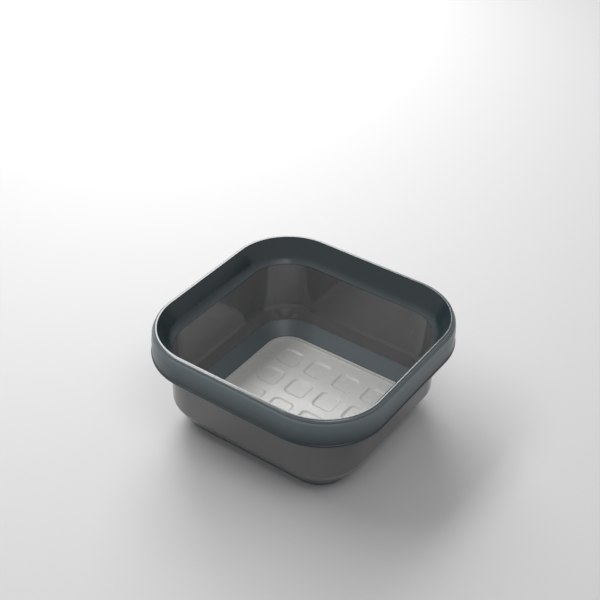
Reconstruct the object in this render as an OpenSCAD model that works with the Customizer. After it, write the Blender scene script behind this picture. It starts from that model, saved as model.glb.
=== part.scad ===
// Collapsible washing up bowl, millimetres, +Z up, standing on z = 0.
// A rigid two-piece rim, a flexible wall and a rigid base with a floor panel.
// The rim slides down over the base as the wall folds; it is drawn opened out.

/* [Overall size] */
// Outside width at the foot of the outer band, along X
bowl_w = 320; // [280:1:360]
// Outside depth at the foot of the outer band, along Y
bowl_d = 313.4; // [275:0.2:355]
// Height from the standing face to the top of the rim
bowl_h = 144; // [130:1:160]
// Outside corner radius at the foot of the outer band
corner_r = 85; // [70:1:100]

/* [Rim] */
// Width of the rounded bead along the top of the rim
bead_w = 4.2; // [3.6:0.1:5.2]
// Height of the outer band below its groove
band_h = 32.6; // [25:0.1:36]
// Plastic thickness of the rim frame and the outer band
rim_t = 2.6; // [2:0.1:3.2]
// Depth of the sloping inner face below the top of the rim
slope_drop = 24; // [20:0.1:28]
// How far the sloping inner face comes in
slope_in = 11.8; // [8:0.1:13]

/* [Flexible wall] */
// Thickness of the upper half of the wall
upper_t = 3.4; // [2.5:0.1:4]
// Thickness of the lower half of the wall
lower_t = 2.4; // [1.8:0.1:3]
// Height at which the upper half ends
upper_end_z = 63; // [62:0.5:68]
// Height at which the lower half ends
lower_end_z = 73; // [70:0.5:80]
// Clear gap between the two halves and at the ledge
slide_gap = 0.4; // [0.3:0.05:0.6]

/* [Base] */
// How far the base comes in from the wall to the floor panel
base_in = 24.4; // [20:0.1:30]
// Height of the floor's flat top above the standing face
floor_z = 5.2; // [5:0.1:7]
// Floor panel thickness
floor_t = 3; // [2.5:0.1:3.2]
// Height of the raised edge round the floor panel
edge_rise = 3.6; // [2:0.1:4.2]
// Width of the raised edge
edge_w = 3.4; // [2:0.1:5]

/* [Floor squares] */
// Squares in each row and column
square_n = 4; // [3:1:5]
// Plain margin between the panel's edge and the outermost squares
square_margin = 22.5; // [16:0.5:30]
// Side of a square as a share of the distance from one to the next
square_share = 0.72; // [0.5:0.01:0.8]
// Corner radius of a square as a share of its side
square_round = 0.24; // [0.15:0.01:0.35]
// Depth of one sunken square
square_deep = 1.8; // [0.8:0.1:2]

/* [Show] */
// Piece to draw, or all of them

/* [Hidden] */
$fn = 96;
rim_col = [0.16, 0.2, 0.22];
wall_col = [0.2, 0.2, 0.2];
floor_col = [0.62, 0.62, 0.61];
// corner centres, shared by every level of the bowl
cx = bowl_w / 2 - corner_r;
cy = bowl_d / 2 - corner_r;
// radii from a corner centre, named from the outside in
band_foot = corner_r;
band_top = band_foot - 2.5;
bead_out = band_top - 2.1;
spigot = bead_out - 1.2;
ridge_in = bead_out - bead_w;
ledge = ridge_in - slope_in - 6;
wall_in = ledge + slide_gap / 2;
lower_out = ledge - slide_gap;
lower_in = lower_out - lower_t;
ring_out = lower_out - 5.5;
ring_lip = ring_out - 2.6;
floor_r = lower_out - base_in;
// heights, named from the top down
groove_z = bowl_h - 4.2;
band_z = groove_z - 0.2 - band_h;
slope_z = bowl_h - slope_drop;
lip_z = slope_z - 8.4;
shoulder_z = 40.5;
ring_top = 26;
seat_z = floor_z - floor_t;

// A length rounded to a hundredth of a millimetre.
function hundredth(v) = round(100 * v) / 100;

// Carries a profile round the bowl: x is the radius from a corner centre.
module round_bowl() {
    for (i = [0 : 3]) {
        sx = (i == 0 || i == 3) ? 1 : -1;
        sy = i < 2 ? 1 : -1;
        translate([sx * cx, sy * cy, 0]) rotate([0, 0, 90 * i]) rotate_extrude(angle = 90) children();
    }
    for (s = [0, 180]) rotate([0, 0, s]) {
        translate([cx, cy, 0]) rotate([90, 0, 0]) linear_extrude(height = 2 * cy) children();
        translate([-cx, cy, 0]) rotate([90, 0, 90]) linear_extrude(height = 2 * cx) children();
    }
}

// Flat rounded plate, given its corner centres and radius.
module plate(px, py, r, z0, z1) {
    translate([-px, -py - r, z0]) cube([2 * px, 2 * (py + r), z1 - z0]);
    translate([-px - r, -py, z0]) cube([2 * (px + r), 2 * py, z1 - z0]);
    for (sx = [-1, 1], sy = [-1, 1]) translate([sx * px, sy * py, z0]) cylinder(r = r, h = z1 - z0);
}

// Top bead, sloping inner face and ledge lip, with a spigot for the outer band.
module rim_frame() {
    color(rim_col) round_bowl() polygon([
        [ridge_in + 1.3, bowl_h], [bead_out - 1.5, bowl_h], [bead_out - 0.5, bowl_h - 0.5],
        [bead_out, bowl_h - 1.5], [bead_out, groove_z + 0.1], [spigot, groove_z + 0.1],
        [spigot, groove_z - 13], [spigot - 2.4, groove_z - 13], [spigot - 2.4, bowl_h - 5],
        [ledge + 8, slope_z - 1.1], [ledge + 4, lip_z + 1.8], [ledge + 4, lip_z],
        [ledge, lip_z], [ledge, lip_z + 1.3], [ledge + 3, slope_z - 3.5],
        [ledge + 5.8, slope_z + 0.2], [ledge + 8.1, slope_z + 4.1],
        [ridge_in, bowl_h - 1.3], [ridge_in + 0.4, bowl_h - 0.5]]);
}

// Deep outer skirt that hangs from the spigot and gives the hands a grip.
module outer_band() {
    color(rim_col) round_bowl() polygon([
        [spigot, groove_z - 0.2], [band_top - 1.1, groove_z - 0.2], [band_top, groove_z - 1.2],
        [band_foot, band_z + 3], [band_foot, band_z + 1], [band_foot - 1, band_z],
        [band_foot - rim_t + 0.2, band_z], [band_foot - rim_t - 0.2, band_z + 1],
        [spigot + 1, groove_z - 8.8], [spigot, groove_z - 8.2]]);
}

// Upper half of the flexible wall, moulded on under the ledge.
module upper_wall() {
    color(wall_col) round_bowl() polygon([
        [wall_in, lip_z], [wall_in + upper_t, lip_z],
        [wall_in + upper_t - 0.4, upper_end_z], [wall_in, upper_end_z]]);
}

// Lower half of the flexible wall and its shoulder, moulded on the base ring.
module lower_wall() {
    color(wall_col) round_bowl() polygon([
        [lower_in, lower_end_z], [lower_out, lower_end_z], [lower_out, shoulder_z - 2],
        [ring_out + 3, ring_top + 2], [ring_out, ring_top - 4.5],
        [ring_out, ring_top], [ring_lip, ring_top],
        [ring_lip + 5, ring_top + 9.3], [lower_in, shoulder_z]]);
}

// Rigid ring with a sloping inside, a seat for the floor and a standing foot.
module base_ring() {
    color(rim_col) round_bowl() polygon([
        [ring_lip - 1, ring_top - 1.2], [floor_r, floor_z + edge_rise], [floor_r, seat_z],
        [floor_r - 8, seat_z], [floor_r - 8, seat_z - 1.6], [floor_r - 2.6, seat_z - 1.6],
        [floor_r - 2.6, 0], [floor_r + 3.4, 0], [floor_r + 4.9, 3.5],
        [ring_out, ring_top - 4.5], [ring_out, ring_top], [ring_lip, ring_top]]);
}

// Light panel set in the ring, with a raised edge and rows of sunken squares.
module floor_panel() {
    pitch = hundredth(2 * (cy + floor_r - square_margin) / (square_n - 1 + square_share));
    soft = hundredth(square_round * square_share * pitch);
    half = hundredth(square_share * pitch / 2 - soft);
    first = -(square_n - 1) / 2 * pitch;
    color(floor_col) difference() {
        plate(cx, cy, floor_r, seat_z, floor_z + edge_rise);
        plate(cx, cy, floor_r - edge_w, floor_z, floor_z + 5);
        for (i = [0 : square_n - 1], j = [0 : square_n - 1])
            translate([first + i * pitch, first + j * pitch, 0])
                plate(half, half, soft, floor_z - square_deep, floor_z + 5);
    }
}

rim_frame();
outer_band();
upper_wall();
lower_wall();
base_ring();
floor_panel();
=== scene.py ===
import math

import bmesh
import bpy
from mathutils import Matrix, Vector


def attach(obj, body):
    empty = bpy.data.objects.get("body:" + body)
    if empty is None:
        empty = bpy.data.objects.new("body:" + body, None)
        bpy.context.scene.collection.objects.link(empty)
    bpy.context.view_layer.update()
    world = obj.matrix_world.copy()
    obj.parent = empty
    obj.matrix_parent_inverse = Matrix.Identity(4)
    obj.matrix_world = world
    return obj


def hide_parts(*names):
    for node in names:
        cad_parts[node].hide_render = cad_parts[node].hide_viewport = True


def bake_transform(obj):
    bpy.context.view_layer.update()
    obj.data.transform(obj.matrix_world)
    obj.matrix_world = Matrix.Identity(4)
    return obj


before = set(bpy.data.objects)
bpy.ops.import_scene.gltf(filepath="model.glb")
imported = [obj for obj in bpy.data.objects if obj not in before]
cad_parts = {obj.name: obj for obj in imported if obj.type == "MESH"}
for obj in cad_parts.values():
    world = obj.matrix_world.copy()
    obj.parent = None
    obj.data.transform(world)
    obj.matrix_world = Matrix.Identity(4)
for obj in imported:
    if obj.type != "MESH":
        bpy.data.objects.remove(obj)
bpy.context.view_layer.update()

# ---------------------------------------------------------------- base ring
# A rigid blue-grey moulding at the foot of the bowl. Its inside slopes from a
# small step under the wall down to the floor, and a foot runs round underneath.
# It is moulded in one shot, with every edge broken by a small radius.
corner_x, corner_y = 75.0, 71.7    # corner centres, mm
path_radius = 50.0                 # path that every profile is carried along, mm
corner_steps = 28
millimetre = 0.001


def soften(corners, steps=5, crisp=0.35):
    """Closed outline from (radius, height, edge radius) in mm, with its edges rounded.

    Long straight runs get a point near each end, so that they stay flat when shaded.
    """
    outline = []
    count = len(corners)
    for i, (x, z, r) in enumerate(corners):
        here = Vector((x, z))
        back = Vector(corners[i - 1][:2]) - here
        ahead = Vector(corners[(i + 1) % count][:2]) - here
        half = back.angle(ahead) / 2
        reach = min(r / math.tan(half), 0.45 * back.length, 0.45 * ahead.length)
        if r <= 0 or reach < 0.02:
            outline.append(here)
            continue
        radius = reach * math.tan(half)
        back.normalize()
        ahead.normalize()
        centre = here + (back + ahead).normalized() * (radius / math.sin(half))
        first, last = here + back * reach - centre, here + ahead * reach - centre
        turn = first.angle_signed(last)
        for k in range(steps + 1):
            a = -turn * k / steps
            outline.append(centre + Vector((first.x * math.cos(a) - first.y * math.sin(a),
                                            first.x * math.sin(a) + first.y * math.cos(a))))
    held = []
    for a, b in zip(outline, outline[1:] + outline[:1]):
        held.append(a)
        run = b - a
        if run.length > 4 * crisp:
            held += [a + run.normalized() * crisp, b - run.normalized() * crisp]
    return held


def divided(outline, longest):
    """The same outline with no run longer than a given length in mm."""
    fine = []
    for a, b in zip(outline, outline[1:] + outline[:1]):
        parts = max(1, math.ceil((b - a).length / longest))
        fine += [a.lerp(b, k / parts) for k in range(parts)]
    return fine


def bowl_sweep_tree():
    """Geometry Nodes: carries a profile round the bowl's rounded outline."""
    tree = bpy.data.node_groups.new("bowl_sweep", "GeometryNodeTree")
    face = tree.interface
    face.new_socket("Profile", in_out="INPUT", socket_type="NodeSocketGeometry")
    for name in ("Corner X", "Corner Y", "Path Radius"):
        face.new_socket(name, in_out="INPUT", socket_type="NodeSocketFloat")
    face.new_socket("Corner Steps", in_out="INPUT", socket_type="NodeSocketInt")
    face.new_socket("Finish", in_out="INPUT", socket_type="NodeSocketMaterial")
    face.new_socket("Moulding", in_out="OUTPUT", socket_type="NodeSocketGeometry")
    add, link = tree.nodes.new, tree.links.new
    given, out = add("NodeGroupInput"), add("NodeGroupOutput")

    def side(corner):
        total = add("ShaderNodeMath")
        total.operation = "ADD"
        link(given.outputs[corner], total.inputs[0])
        link(given.outputs["Path Radius"], total.inputs[1])
        twice = add("ShaderNodeMath")
        twice.operation = "MULTIPLY"
        twice.inputs[1].default_value = 2.0
        link(total.outputs[0], twice.inputs[0])
        return twice.outputs[0]

    box = add("GeometryNodeCurvePrimitiveQuadrilateral")
    link(side("Corner X"), box.inputs["Width"])
    link(side("Corner Y"), box.inputs["Height"])
    fillet = add("GeometryNodeFilletCurve")
    fillet.mode = "POLY"
    link(box.outputs[0], fillet.inputs["Curve"])
    link(given.outputs["Path Radius"], fillet.inputs["Radius"])
    link(given.outputs["Corner Steps"], fillet.inputs["Count"])
    upright = add("GeometryNodeSetCurveNormal")
    upright.mode = "Z_UP"
    link(fillet.outputs[0], upright.inputs["Curve"])
    profile = add("GeometryNodeMeshToCurve")
    link(given.outputs["Profile"], profile.inputs["Mesh"])
    sweep = add("GeometryNodeCurveToMesh")
    link(upright.outputs[0], sweep.inputs["Curve"])
    link(profile.outputs[0], sweep.inputs["Profile Curve"])
    real = add("GeometryNodeRealizeInstances")
    link(sweep.outputs[0], real.inputs[0])
    finish = add("GeometryNodeSetMaterial")
    link(real.outputs[0], finish.inputs["Geometry"])
    link(given.outputs["Finish"], finish.inputs["Material"])
    link(finish.outputs[0], out.inputs[0])
    return tree


def run_tree(name, mesh, tree, values):
    """Runs a tree on a mesh and gives back the result as a plain, smooth piece."""
    maker = bpy.data.objects.new(name + "_maker", mesh)
    bpy.context.collection.objects.link(maker)
    step = maker.modifiers.new("make", "NODES")
    step.node_group = tree
    for item in tree.interface.items_tree:
        if item.in_out == "INPUT" and item.name in values:
            step[item.identifier] = values[item.name]
    depsgraph = bpy.context.evaluated_depsgraph_get()
    made = bpy.data.meshes.new_from_object(maker.evaluated_get(depsgraph))
    bpy.data.objects.remove(maker)
    return finish_piece(name, made)


def finish_piece(name, mesh):
    """Closes a mesh up, points its faces outwards and makes it a piece."""
    work = bmesh.new()
    work.from_mesh(mesh)
    bmesh.ops.remove_doubles(work, verts=work.verts, dist=1e-6)
    bmesh.ops.recalc_face_normals(work, faces=work.faces)
    for face in work.faces:
        face.smooth = True
    work.to_mesh(mesh)
    work.free()
    mesh.name = name
    piece = bpy.data.objects.new(name, mesh)
    bpy.context.collection.objects.link(piece)
    return piece


def moulding(name, outline, finish):
    """Sweeps a closed outline in mm round the bowl and gives back the piece."""
    mesh = bpy.data.meshes.new(name)
    count = len(outline)
    mesh.from_pydata([((p.x - path_radius) * millimetre, -p.y * millimetre, 0) for p in outline],
                     [(i, (i + 1) % count) for i in range(count)], [])
    return run_tree(name, mesh, bowl_sweep, {
        "Corner X": corner_x * millimetre, "Corner Y": corner_y * millimetre,
        "Path Radius": path_radius * millimetre, "Corner Steps": corner_steps,
        "Finish": finish})


def moulded_finish(name, tone, deeper, gloss, matter, grain, grain_depth, patch=14.0,
                   ior=1.5, painted_light_by_height=None, painted_outward_highlight=None):
    """Plastic from a mould: a slow drift of tone, uneven gloss and a fine grain.

    The height fade gives a start height, an end height and the colour faded to between them:
    painted light or shade, lighter or darker by height.
    The outward colour goes on faces that look away from the middle of the bowl: a painted
    highlight.
    """
    material = bpy.data.materials.new(name)
    material.use_nodes = True
    tree = material.node_tree
    add, link = tree.nodes.new, tree.links.new
    shader = tree.nodes["Principled BSDF"]
    place = add("ShaderNodeTexCoord").outputs["Object"]

    def spread(value, source, target=(0, 1)):
        span = add("ShaderNodeMapRange")
        for end, amounts in (("From", source), ("To", target)):
            span.inputs[end + " Min"].default_value = amounts[0]
            span.inputs[end + " Max"].default_value = amounts[1]
        link(value, span.inputs["Value"])
        return span.outputs["Result"]

    def noise(scale, detail, low, high):
        cloud = add("ShaderNodeTexNoise")
        cloud.inputs["Scale"].default_value = scale
        cloud.inputs["Detail"].default_value = detail
        link(place, cloud.inputs["Vector"])
        return spread(cloud.outputs["Fac"], (0.35, 0.65), (low, high))

    def mixed(share, under, over):
        mix = add("ShaderNodeMix")
        mix.data_type = "RGBA"
        mix.inputs[7].default_value = (*over, 1)
        link(share, mix.inputs[0])
        link(under, mix.inputs[6])
        return mix.outputs[2]

    drift = add("ShaderNodeMix")
    drift.data_type = "RGBA"
    drift.inputs[6].default_value = (*tone, 1)
    drift.inputs[7].default_value = (*deeper, 1)
    link(noise(patch, 3, 0, 1), drift.inputs[0])
    colour = drift.outputs[2]
    # Painted light: the colour fades to another tone between two heights, standing in for light
    # or shade.
    if painted_light_by_height:
        start, end, pale = painted_light_by_height
        height = add("ShaderNodeSeparateXYZ")
        link(place, height.inputs[0])
        colour = mixed(spread(height.outputs["Z"], (start, end)), colour, pale)
    # Painted highlight: faces that look outward, away from the middle of the bowl, are made
    # paler.
    if painted_outward_highlight:
        level = add("ShaderNodeVectorMath")
        level.operation = "MULTIPLY"
        level.inputs[1].default_value = (1, 1, 0)
        link(place, level.inputs[0])
        outward_highlight_share = add("ShaderNodeVectorMath")
        outward_highlight_share.operation = "DOT_PRODUCT"
        link(level.outputs["Vector"], outward_highlight_share.inputs[0])
        link(add("ShaderNodeNewGeometry").outputs["Normal"], outward_highlight_share.inputs[1])
        colour = mixed(spread(outward_highlight_share.outputs["Value"], (0.03, 0.11)), colour, painted_outward_highlight)
    link(colour, shader.inputs["Base Color"])
    shader.inputs["IOR"].default_value = ior
    link(noise(patch * 4, 4, gloss, matter), shader.inputs["Roughness"])
    relief = add("ShaderNodeBump")
    relief.inputs["Strength"].default_value = 1.0
    relief.inputs["Distance"].default_value = grain_depth
    link(noise(grain, 2, 0, 1), relief.inputs["Height"])
    link(relief.outputs["Normal"], shader.inputs["Normal"])
    return material


bowl_sweep = bowl_sweep_tree()
base_plastic = moulded_finish("base_plastic", (0.118, 0.140, 0.152), (0.110, 0.132, 0.144),
                              0.28, 0.36, 2600.0, 0.000012)
floor_radius = 33.6                # edge of the floor panel, mm
floor_seat = 2.2                   # height of the floor panel's underside, mm
base_ring = moulding("base_ring_moulding", soften([
    (49.6, 26.0, 0.6), (48.9, 24.9, 0.4), (floor_radius, 9.0, 0.4),
    (floor_radius, floor_seat, 0), (25.6, floor_seat, 0.3), (25.6, 0.6, 0.3),
    (31.0, 0.6, 0.3), (31.0, 0.0, 0.2), (37.0, 0.0, 1.0), (38.5, 3.5, 1.5),
    (52.5, 22.5, 0.3), (52.5, 26.0, 0.3)]), base_plastic)
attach(base_ring, "base")
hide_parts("base_ring")

# -------------------------------------------------------------- floor panel
# A light grey panel set in the base ring, moulded separately. Sixteen sunken
# squares with soft corners stop things sliding, and a raised edge runs round.
floor_top = 5.2                    # height of the panel's flat top, mm
edge_width = 3.4                   # width and height of the raised edge, mm
edge_rise = 3.6
square_rows = 4
square_pitch = 44.5                # from one square to the next, mm
square_side = 32.0
square_corner = 7.6
square_depth = 1.8
# how the side of a square goes down: distance out from the square's outline in
# mm, and share of the square's depth
square_fall = [(0.5, 0), (0, 0.0286), (-0.5, 0.1429), (-1.2, 0.4286), (-1.9, 0.75),
               (-2.6, 0.9286), (-3.3, 1), (-4.6, 1)]


def rounded_outline(half_x, half_y, radius, steps):
    """Points round a rounded rectangle, the same number in each corner."""
    points = []
    for quarter in range(4):
        sx, sy = ((1, 1), (-1, 1), (-1, -1), (1, -1))[quarter]
        for k in range(steps + 1):
            a = math.pi / 2 * (quarter + k / steps)
            points.append((sx * (half_x - radius) + radius * math.cos(a),
                           sy * (half_y - radius) + radius * math.sin(a)))
    return points


def square_tile():
    """One cell of the floor: flat land round a sunken square with a soft rim."""
    work = bmesh.new()
    steps, land = 8, 1.06    # points in a corner, and a ring of land just outside
    rings = []
    for outset, fall in square_fall:
        reach = square_side / 2 + outset
        outline = rounded_outline(reach, reach, square_corner + outset, steps)
        if not rings:
            stretch = [square_pitch / 2 / max(abs(x), abs(y)) for x, y in outline]
            rings.append([(x * s, y * s, 0) for (x, y), s in zip(outline, stretch)])
            rings.append([(x * land, y * land, 0) for x, y in outline])
        rings.append([(x, y, -fall * square_depth) for x, y in outline])
    rows = [[work.verts.new(Vector(p) * millimetre) for p in ring] for ring in rings]
    for outer, inner in zip(rows, rows[1:]):
        for i in range(len(outer)):
            j = (i + 1) % len(outer)
            work.faces.new((outer[i], outer[j], inner[j], inner[i]))
    work.faces.new(rows[-1])
    mesh = bpy.data.meshes.new("square_tile")
    work.to_mesh(mesh)
    work.free()
    return mesh


def square_grid_tree():
    """Geometry Nodes: repeats one cell over a square grid and joins the cells."""
    tree = bpy.data.node_groups.new("square_grid", "GeometryNodeTree")
    face = tree.interface
    face.new_socket("Cell", in_out="INPUT", socket_type="NodeSocketGeometry")
    face.new_socket("Per Side", in_out="INPUT", socket_type="NodeSocketInt")
    for name in ("Span", "Height", "Join Distance"):
        face.new_socket(name, in_out="INPUT", socket_type="NodeSocketFloat")
    face.new_socket("Finish", in_out="INPUT", socket_type="NodeSocketMaterial")
    face.new_socket("Floor", in_out="OUTPUT", socket_type="NodeSocketGeometry")
    add, link = tree.nodes.new, tree.links.new
    given, out = add("NodeGroupInput"), add("NodeGroupOutput")
    grid = add("GeometryNodeMeshGrid")
    link(given.outputs["Span"], grid.inputs["Size X"])
    link(given.outputs["Span"], grid.inputs["Size Y"])
    link(given.outputs["Per Side"], grid.inputs["Vertices X"])
    link(given.outputs["Per Side"], grid.inputs["Vertices Y"])
    lift = add("GeometryNodeTransform")
    raised = add("ShaderNodeCombineXYZ")
    link(given.outputs["Height"], raised.inputs["Z"])
    link(grid.outputs["Mesh"], lift.inputs["Geometry"])
    link(raised.outputs[0], lift.inputs["Translation"])
    repeat = add("GeometryNodeInstanceOnPoints")
    link(lift.outputs[0], repeat.inputs["Points"])
    link(given.outputs["Cell"], repeat.inputs["Instance"])
    real = add("GeometryNodeRealizeInstances")
    link(repeat.outputs[0], real.inputs[0])
    join = add("GeometryNodeMergeByDistance")
    link(real.outputs[0], join.inputs["Geometry"])
    link(given.outputs["Join Distance"], join.inputs["Distance"])
    finish = add("GeometryNodeSetMaterial")
    link(join.outputs[0], finish.inputs["Geometry"])
    link(given.outputs["Finish"], finish.inputs["Material"])
    link(finish.outputs[0], out.inputs[0])
    return tree


def edge_and_underside(mesh):
    """Carries the floor out to its raised edge, over it and closed underneath."""
    work = bmesh.new()
    work.from_mesh(mesh)
    brim = [e for e in work.edges if e.is_boundary]
    corner_points = 20
    top = floor_top + edge_rise
    crown = floor_radius - edge_width
    levels = [(crown - 1.6, floor_top), (crown - 0.9, floor_top + 0.15),
              (crown - 0.3, floor_top + 0.6), (crown + 0.3, floor_top + 1.6),
              (crown + 0.8, top - 0.7), (crown + 1.2, top - 0.15), (crown + 1.6, top),
              (floor_radius - 1.0, top), (floor_radius - 0.45, top - 0.15),
              (floor_radius - 0.2, top - 0.6), (floor_radius - 0.15, floor_seat + 0.4),
              (floor_radius - 0.5, floor_seat)]
    rows = []
    for radius, height in levels:
        outline = rounded_outline(corner_x + radius, corner_y + radius, radius, corner_points)
        rows.append([work.verts.new(Vector((x, y, height)) * millimetre) for x, y in outline])
    land = [work.edges.new((a, b)) for a, b in zip(rows[0], rows[0][1:] + rows[0][:1])]
    bmesh.ops.triangle_fill(work, edges=brim + land, use_beauty=True)
    for outer, inner in zip(rows, rows[1:]):
        for i in range(len(outer)):
            j = (i + 1) % len(outer)
            work.faces.new((outer[i], outer[j], inner[j], inner[i]))
    work.faces.new(rows[-1])
    bmesh.ops.recalc_face_normals(work, faces=work.faces)
    work.to_mesh(mesh)
    work.free()


floor_plastic = moulded_finish("floor_plastic", (0.545, 0.545, 0.535), (0.52, 0.52, 0.51),
                               0.24, 0.34, 1500.0, 0.00002, patch=9.0)
floor_panel = run_tree("floor_panel_moulding", square_tile(), square_grid_tree(), {
    "Per Side": square_rows, "Span": (square_rows - 1) * square_pitch * millimetre,
    "Height": floor_top * millimetre, "Join Distance": 0.05 * millimetre,
    "Finish": floor_plastic})
edge_and_underside(floor_panel.data)
for polygon in floor_panel.data.polygons:
    polygon.use_smooth = True
    polygon.material_index = 0
floor_panel.data.materials.clear()
floor_panel.data.materials.append(floor_plastic)
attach(floor_panel, "base")
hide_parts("floor_panel")

# ------------------------------------------------------------ flexible wall
# One soft, shiny dark grey moulding, bonded under the rim's ledge and over the
# base ring's top edge. It stands nearly upright and turns in at a round
# shoulder. On the real bowl it folds on itself when the rim is pressed down;
# here it is swept as one fixed piece.
wall_rubber = moulded_finish("wall_rubber", (0.138, 0.138, 0.137), (0.131, 0.131, 0.131),
                             0.06, 0.09, 900.0, 0.000003, patch=7.0, ior=1.74)
wall_outline = divided(soften([
    (58.5, 111.7, 0), (62.0, 111.7, 0), (61.4, 38.0, 9.0), (53.2, 24.2, 1.2), (52.6, 22.9, 0.3),
    (52.5, 26.0, 0.0), (49.9, 26.0, 0.4), (57.2, 39.6, 2.5), (58.2, 46.0, 3.0)], steps=10), 2.5)
wall = moulding("flexible_wall", wall_outline, wall_rubber)
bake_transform(wall)
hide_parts("upper_wall", "lower_wall")

# ---------------------------------------------------------------- rim frame
# The rigid blue-grey frame round the mouth: a narrow rounded bead on top, a
# face that slopes in below it and a small ledge where the wall is bonded.
# Painted highlight: the lower end of the sloping face and the ledge fade paler from 120 mm down
# to 113 mm, and the bead's outward roll is painted paler as well.
rim_plastic = moulded_finish("rim_plastic", (0.018, 0.031, 0.036), (0.016, 0.029, 0.034),
                             0.19, 0.23, 2600.0, 0.000003, ior=1.8,
                             painted_light_by_height=(0.120, 0.113, (0.050, 0.066, 0.073)),
                             painted_outward_highlight=(0.105, 0.130, 0.140))
rim_frame = moulding("rim_frame_moulding", soften([
    (76.6, 144.0, 0.4), (79.0, 144.0, 6.0), (80.7, 143.0, 0.9), (80.7, 139.9, 0.3),
    (79.2, 139.9, 0), (79.2, 126.8, 0.6), (76.8, 126.8, 0.6), (76.8, 138.9, 0.5),
    (66.4, 118.9, 1.5), (62.4, 113.4, 0.6), (62.4, 111.6, 0.3), (58.4, 111.6, 0.1),
    (58.4, 112.9, 0.5), (64.4, 120.0, 42.0), (76.4, 143.1, 0.5)], steps=7), rim_plastic)
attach(rim_frame, "rim")
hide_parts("rim_frame")

# --------------------------------------------------------------- outer band
# A deep skirt in the same plastic, pushed on round the rim under its bead. It
# flares slightly to a rounded lower edge, which the fingers hook under.
# Painted light: the band is painted paler towards its top, from 110 mm up to 142 mm, standing in
# for a lit top and a shaded lower part.
band_plastic = moulded_finish("band_plastic", (0.028, 0.043, 0.052), (0.027, 0.041, 0.050),
                              0.28, 0.30, 2600.0, 0.000002, ior=1.42,
                              painted_light_by_height=(0.110, 0.142, (0.170, 0.209, 0.222)))
outer_band = moulding("outer_band_moulding", soften([
    (79.25, 139.65, 0.1), (81.4, 139.65, 0.7), (82.9, 137.9, 1.6), (84.0, 127.0, 20.0),
    (84.4, 110.4, 0.1), (85.1, 110.0, 0.35), (85.0, 107.0, 0.8), (82.4, 107.0, 0.5),
    (82.0, 110.0, 0.6), (80.2, 131.0, 0.6), (79.25, 131.6, 0.2)], steps=6), band_plastic)
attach(outer_band, "rim")
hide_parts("outer_band")

# ------------------------------------------------------------------- studio
# A plain pale floor under soft light from above, with the camera looking down
# across one corner of the bowl.
floor_seen, floor_bounced = 0.6, 0.42    # tone to the eye, and to light on its way up
stage_reach = 4.0
stage_paint = bpy.data.materials.new("stage_paint")
stage_paint.use_nodes = True
stage_tree = stage_paint.node_tree
stage_shader = stage_tree.nodes["Principled BSDF"]
stage_shader.inputs["Roughness"].default_value = 0.7
stage_rays = stage_tree.nodes.new("ShaderNodeLightPath")
stage_tone = stage_tree.nodes.new("ShaderNodeMix")
stage_tone.data_type = "RGBA"
stage_tone.inputs[6].default_value = (floor_seen, floor_seen, floor_seen, 1)
stage_tone.inputs[7].default_value = (floor_bounced, floor_bounced, floor_bounced, 1)
stage_tree.links.new(stage_rays.outputs["Is Diffuse Ray"], stage_tone.inputs[0])
stage_tree.links.new(stage_tone.outputs[2], stage_shader.inputs["Base Color"])
stage_mesh = bpy.data.meshes.new("studio_floor")
stage_mesh.from_pydata([(x * stage_reach, y * stage_reach, 0)
                        for x, y in ((-1, -1), (1, -1), (1, 1), (-1, 1))], [], [(0, 1, 2, 3)])
stage_mesh.materials.append(stage_paint)
studio_floor = bpy.data.objects.new("studio_floor", stage_mesh)
bpy.context.collection.objects.link(studio_floor)

world = bpy.data.worlds.new("studio")
bpy.context.scene.world = world
world.use_nodes = True
sky = world.node_tree
sky_light = sky.nodes["Background"]
sky_light.inputs["Color"].default_value = (1, 1, 1, 1)
sky_light.inputs["Strength"].default_value = 0.36
seen = sky.nodes.new("ShaderNodeBackground")
seen.inputs["Strength"].default_value = 1.0
rays = sky.nodes.new("ShaderNodeLightPath")
either = sky.nodes.new("ShaderNodeMixShader")
sky.links.new(rays.outputs["Is Camera Ray"], either.inputs[0])
sky.links.new(sky_light.outputs[0], either.inputs[1])
sky.links.new(seen.outputs[0], either.inputs[2])
sky.links.new(either.outputs[0], sky.nodes["World Output"].inputs["Surface"])


def soft_lamp(name, place, aim, width, height, power):
    """An oblong soft box, turned towards a point."""
    lamp = bpy.data.lights.new(name, "AREA")
    lamp.shape = "RECTANGLE"
    lamp.size = width
    lamp.size_y = height
    lamp.energy = power
    holder = bpy.data.objects.new(name, lamp)
    bpy.context.collection.objects.link(holder)
    holder.location = place
    holder.rotation_euler = (Vector(aim) - Vector(place)).to_track_quat("-Z", "Y").to_euler()


soft_lamp("key_lamp", (-1.15, 1.19, 1.12), (0, 0, 0.1), 1.15, 1.3, 29)
soft_lamp("left_lamp", (-0.92, -0.04, 1.5), (0, 0, 0.1), 1.5, 0.42, 13)
soft_lamp("fill_lamp", (0.95, -0.5, 2.25), (0, 0, 0.05), 1.3, 1.0, 12)

camera_data = bpy.data.cameras.new("camera")
camera_data.sensor_width = 36
camera_data.lens = 72.45
camera = bpy.data.objects.new("camera", camera_data)
bpy.context.collection.objects.link(camera)
camera.location = (0.64668, -0.96565, 1.04653)
camera.rotation_euler = [math.radians(a) for a in (53.0493, -1.2829, 35.1342)]
bpy.context.scene.camera = camera
bpy.context.scene.view_settings.view_transform = "Standard"
